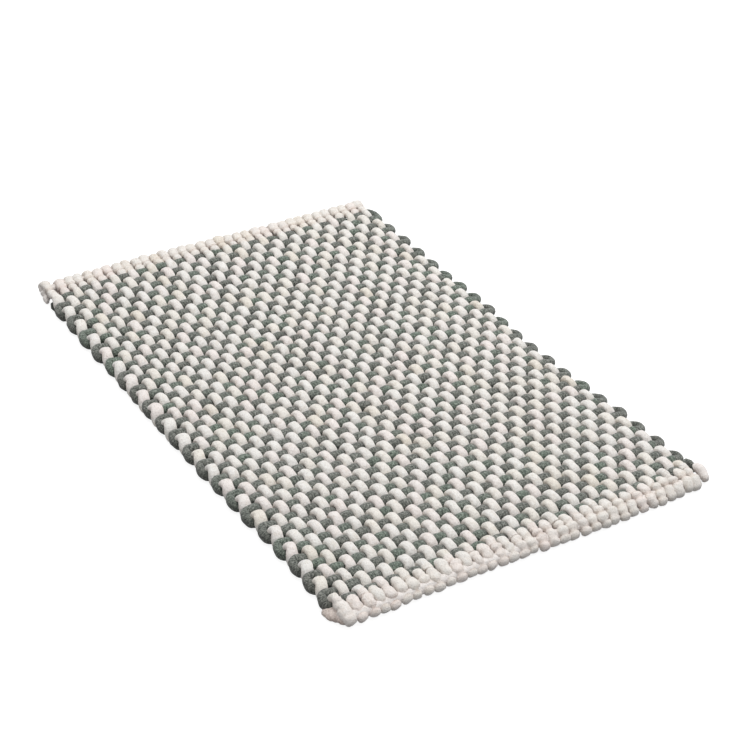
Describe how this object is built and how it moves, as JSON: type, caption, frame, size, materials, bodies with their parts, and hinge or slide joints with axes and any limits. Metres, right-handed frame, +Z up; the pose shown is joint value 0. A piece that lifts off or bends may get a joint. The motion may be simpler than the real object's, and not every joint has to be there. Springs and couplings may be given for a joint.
{
  "type": "woven chenille bath mat",
  "caption": "Flat rectangular bath mat woven from thick soft white cords and one grey-green cross cord, with lumpy white borders at both ends and looped side edges.",
  "frame": {"origin": "on the floor, under the middle of the mat", "axes": "+X across the mat's width, +Y along its length to the far end, +Z up"},
  "size_m": [0.5923, 0.9111, 0.024],
  "materials": {
    "white_cord": "matt felted cord, off-white with faint pink and cream tints",
    "grey_green_cord": "matt felted cord, dark grey-green with fine lighter flecks"
  },
  "bodies": {
    "root": {"woven_mat": "white_cord"}
  },
  "joints": []
}
